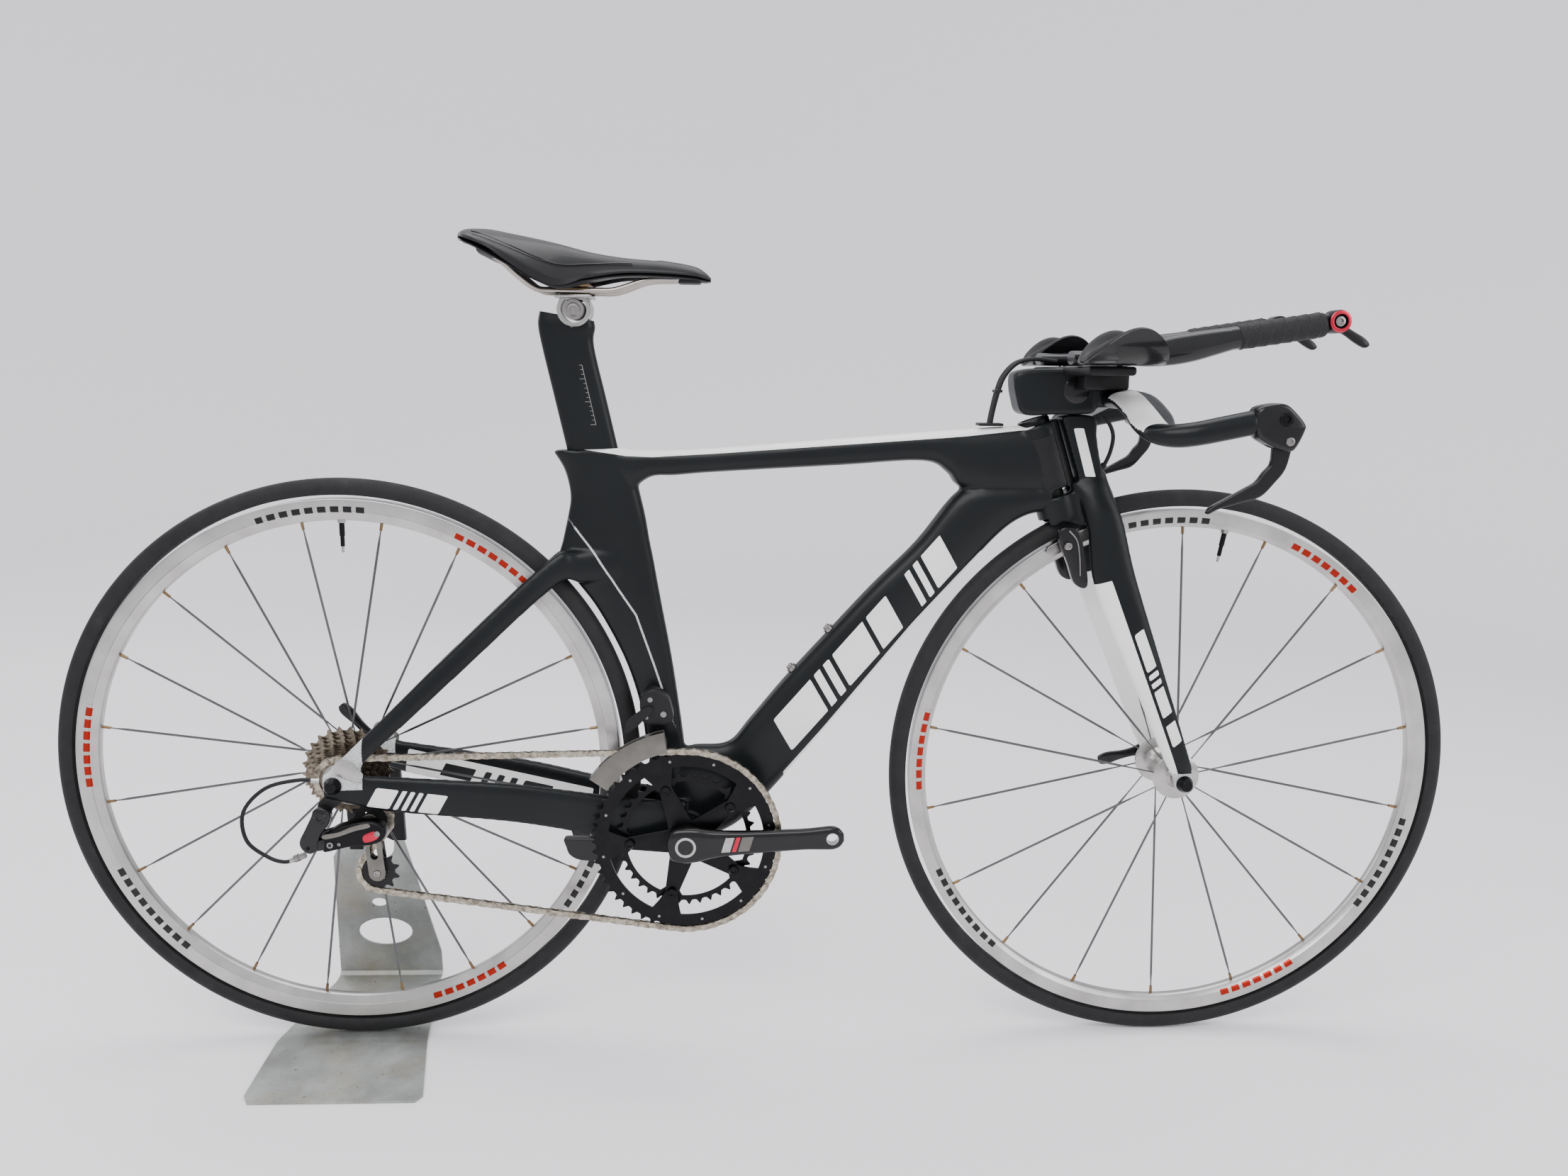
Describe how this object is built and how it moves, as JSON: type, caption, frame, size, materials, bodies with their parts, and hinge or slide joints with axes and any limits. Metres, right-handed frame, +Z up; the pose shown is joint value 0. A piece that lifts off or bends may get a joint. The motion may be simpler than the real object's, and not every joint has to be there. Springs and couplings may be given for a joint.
{
  "type": "bicycle on stand",
  "caption": "Black and white carbon time-trial bicycle with aero bars and radial-spoked wheels, its rear axle held by a bent sheet-steel display stand",
  "frame": {"origin": "on the floor, at the middle of the bounding box, midway between the wheel axles", "axes": "+X forward from rear wheel to front wheel, +Y to the bicycle's left (away from the drive side), +Z up"},
  "size_m": [1.628, 0.424, 0.9435],
  "materials": {
    "painted_steel_sheet": "galvanised grey sheet with faint warm stains",
    "hook_rubber": "dip-coated black rubber",
    "black_carbon": "satin clear-coated black carbon with white areas",
    "gloss_black": "gloss black",
    "black_cable": "black cable housing",
    "tyre_rubber": "black slick tyre",
    "machined_rim": "machined silver rim",
    "hub_silver": "polished silver hub with dark bladed spokes",
    "titanium_rail": "brushed titanium",
    "clamp_silver": "satin silver and bronze clamp",
    "saddle_shell": "gloss black shell",
    "saddle_cover": "smooth black cover",
    "arm_pad_foam": "black foam pad with cloth face",
    "lever_black": "gloss black lever",
    "chain_nickel": "nickel chain, lightly oiled",
    "cog_steel": "brownish oiled steel",
    "ring_black": "black anodised ring with bright teeth",
    "ring_silver": "silver ring",
    "crank_black": "gloss dark crank",
    "pulley_black": "black pulley",
    "cage_grey": "grey plate",
    "brake_black": "satin black arm",
    "grip_tape": "dark grey grip tape over black bar"
  },
  "bodies": {
    "stand": {"stand_plate": "painted_steel_sheet", "stand_hook": "hook_rubber"},
    "frame": {"top_tube": "black_carbon", "down_tube": "black_carbon", "seat_tube": "black_carbon", "head_tube": "black_carbon", "chain_stay_right": "black_carbon", "chain_stay_left": "black_carbon", "seat_stay_right": "black_carbon", "seat_stay_left": "black_carbon", "front_derailleur": "gloss_black", "derailleur_knuckle": "gloss_black", "cable_bundle": "black_cable", "derailleur_cable": "black_cable", "chain": "chain_nickel", "rear_skewer": "gloss_black"},
    "post": {"seatpost": "black_carbon"},
    "saddle": {"seat_clamp": "clamp_silver", "saddle_rails": "titanium_rail", "saddle_shell": "saddle_shell", "saddle_pad": "saddle_cover"},
    "steerer": {"fork": "black_carbon", "stem": "black_carbon", "base_bar": "black_carbon", "front_brake_cable": "black_cable", "front_skewer": "gloss_black", "brake_hood_right": "lever_black", "brake_hood_left": "lever_black", "extension_right": "grip_tape", "extension_left": "grip_tape", "arm_rest_right": "black_carbon", "arm_rest_left": "black_carbon", "arm_pad_right": "arm_pad_foam", "arm_pad_left": "arm_pad_foam"},
    "lever_right": {"brake_lever_right": "lever_black"},
    "lever_left": {"brake_lever_left": "lever_black"},
    "shifter_right": {"shift_lever_right": "lever_black"},
    "shifter_left": {"shift_lever_left": "lever_black"},
    "front_arm_right": {"front_brake_right": "brake_black"},
    "front_arm_left": {"front_brake_left": "brake_black"},
    "rear_arm_right": {"rear_brake_right": "brake_black"},
    "rear_arm_left": {"rear_brake_left": "brake_black"},
    "front_wheel": {"front_tyre": "tyre_rubber", "front_rim": "machined_rim", "front_hub": "hub_silver"},
    "rear_wheel": {"rear_tyre": "tyre_rubber", "rear_rim": "machined_rim", "rear_hub": "hub_silver"},
    "cogs": {"cassette": "cog_steel"},
    "front_lever": {"front_release": "gloss_black"},
    "rear_lever": {"rear_release": "gloss_black"},
    "crank": {"crank_right": "crank_black", "crank_left": "crank_black", "chainring_large": "ring_black", "chainring_small": "ring_silver"},
    "shifting_block": {"rear_derailleur": "gloss_black"},
    "cage": {"derailleur_cage": "cage_grey"},
    "upper_pulley": {"guide_pulley": "pulley_black"},
    "lower_pulley": {"tension_pulley": "pulley_black"},
    "front_guide": {"front_cage": "cage_grey"}
  },
  "joints": [
    {"name": "bike_lift", "type": "slide", "parent": "stand", "child": "frame", "axis": [0, 0, 1], "range_m": [0, 0.2]},
    {"name": "seatpost_slide", "type": "slide", "parent": "frame", "child": "post", "axis": [-0.2203, 0, 0.9754], "range_m": [-0.04, 0.06]},
    {"name": "saddle_tilt", "type": "hinge", "parent": "post", "child": "saddle", "pos_m": [-0.2145, 0, 0.8595], "axis": [0, 1, 0], "range_deg": [-15, 15]},
    {"name": "steering", "type": "hinge", "parent": "frame", "child": "steerer", "pos_m": [0.314, 0, 0.7], "axis": [-0.309, 0, 0.9511], "range_deg": [-40, 40], "deforming": ["cable_bundle"]},
    {"name": "front_wheel_spin", "type": "hinge", "parent": "steerer", "child": "front_wheel", "pos_m": [0.48, 0, 0.334], "axis": [0, 1, 0], "continuous": true},
    {"name": "rear_wheel_spin", "type": "hinge", "parent": "frame", "child": "rear_wheel", "pos_m": [-0.48, 0, 0.3392], "axis": [0, 1, 0], "continuous": true},
    {"name": "crank_spin", "type": "hinge", "parent": "frame", "child": "crank", "pos_m": [-0.092, 0, 0.262], "axis": [0, 1, 0], "continuous": true, "deforming": ["chain"]},
    {"name": "cassette_spin", "type": "hinge", "parent": "frame", "child": "cogs", "pos_m": [-0.48, 0, 0.3392], "axis": [0, 1, 0], "continuous": true, "deforming": ["chain"]},
    {"name": "brake_lever_right_pull", "type": "hinge", "parent": "steerer", "child": "lever_right", "pos_m": [0.5017, -0.2, 0.7321], "axis": [0, 1, 0], "range_deg": [0, 20], "stiffness_Nm_per_rad": 0.8},
    {"name": "brake_lever_left_pull", "type": "hinge", "parent": "steerer", "child": "lever_left", "pos_m": [0.5017, 0.2, 0.7321], "axis": [0, 1, 0], "range_deg": [0, 20], "stiffness_Nm_per_rad": 0.8},
    {"name": "shift_lever_right_turn", "type": "hinge", "parent": "steerer", "child": "shifter_right", "pos_m": [0.6046, -0.072, 0.8553], "axis": [0, 1, 0], "range_deg": [-60, 0]},
    {"name": "shift_lever_left_turn", "type": "hinge", "parent": "steerer", "child": "shifter_left", "pos_m": [0.6046, 0.072, 0.8553], "axis": [0, 1, 0], "range_deg": [-60, 0]},
    {"name": "front_brake_right_close", "type": "hinge", "parent": "steerer", "child": "front_arm_right", "pos_m": [0.355, -0.0305, 0.568], "axis": [1, 0, 0], "range_deg": [-2.1, 0]},
    {"name": "front_brake_left_close", "type": "hinge", "parent": "steerer", "child": "front_arm_left", "pos_m": [0.355, 0.0305, 0.568], "axis": [1, 0, 0], "range_deg": [0, 2.1]},
    {"name": "rear_brake_right_close", "type": "hinge", "parent": "frame", "child": "rear_arm_right", "pos_m": [-0.224, -0.0245, 0.245], "axis": [0, 0, 1], "range_deg": [0, 2.1]},
    {"name": "rear_brake_left_close", "type": "hinge", "parent": "frame", "child": "rear_arm_left", "pos_m": [-0.224, 0.0245, 0.245], "axis": [0, 0, 1], "range_deg": [-2.1, 0]},
    {"name": "front_release_open", "type": "hinge", "parent": "steerer", "child": "front_lever", "pos_m": [0.48, 0.0765, 0.334], "axis": [0.225, 0, -0.9744], "range_deg": [0, 150]},
    {"name": "rear_release_open", "type": "hinge", "parent": "frame", "child": "rear_lever", "pos_m": [-0.48, 0.0927, 0.3392], "axis": [-0.766, 0, -0.6428], "range_deg": [0, 150]},
    {"name": "rear_shift", "type": "slide", "parent": "frame", "child": "shifting_block", "axis": [0.2867, 0.8705, -0.4001], "range_m": [0, 0.0412], "deforming": ["chain"]},
    {"name": "cage_swing", "type": "hinge", "parent": "shifting_block", "child": "cage", "pos_m": [-0.446, -0.0563, 0.292], "axis": [0, 1, 0], "range_deg": [-30, 30], "stiffness_Nm_per_rad": 0.3, "deforming": ["chain"]},
    {"name": "guide_pulley_spin", "type": "hinge", "parent": "cage", "child": "upper_pulley", "pos_m": [-0.446, -0.0563, 0.292], "axis": [0, 1, 0], "continuous": true},
    {"name": "tension_pulley_spin", "type": "hinge", "parent": "cage", "child": "lower_pulley", "pos_m": [-0.44, -0.0563, 0.231], "axis": [0, 1, 0], "continuous": true},
    {"name": "front_shift", "type": "slide", "parent": "frame", "child": "front_guide", "axis": [0, 1, 0], "range_m": [0, 0.0081], "deforming": ["chain"]}
  ],
  "couplings": [
    {"joint": "cassette_spin", "follows": "crank_spin", "ratio": 4.4167},
    {"joint": "guide_pulley_spin", "follows": "crank_spin", "ratio": -4.8182},
    {"joint": "tension_pulley_spin", "follows": "crank_spin", "ratio": 4.8182},
    {"joint": "shift_lever_right_turn", "follows": "rear_shift", "rad_per_m": -25.4},
    {"joint": "front_shift", "follows": "shift_lever_left_turn", "m_per_rad": -0.0076},
    {"joint": "front_brake_right_close", "follows": "brake_lever_left_pull", "ratio": -0.1},
    {"joint": "front_brake_left_close", "follows": "brake_lever_left_pull", "ratio": 0.1},
    {"joint": "rear_brake_right_close", "follows": "brake_lever_right_pull", "ratio": 0.1},
    {"joint": "rear_brake_left_close", "follows": "brake_lever_right_pull", "ratio": -0.1}
  ]
}
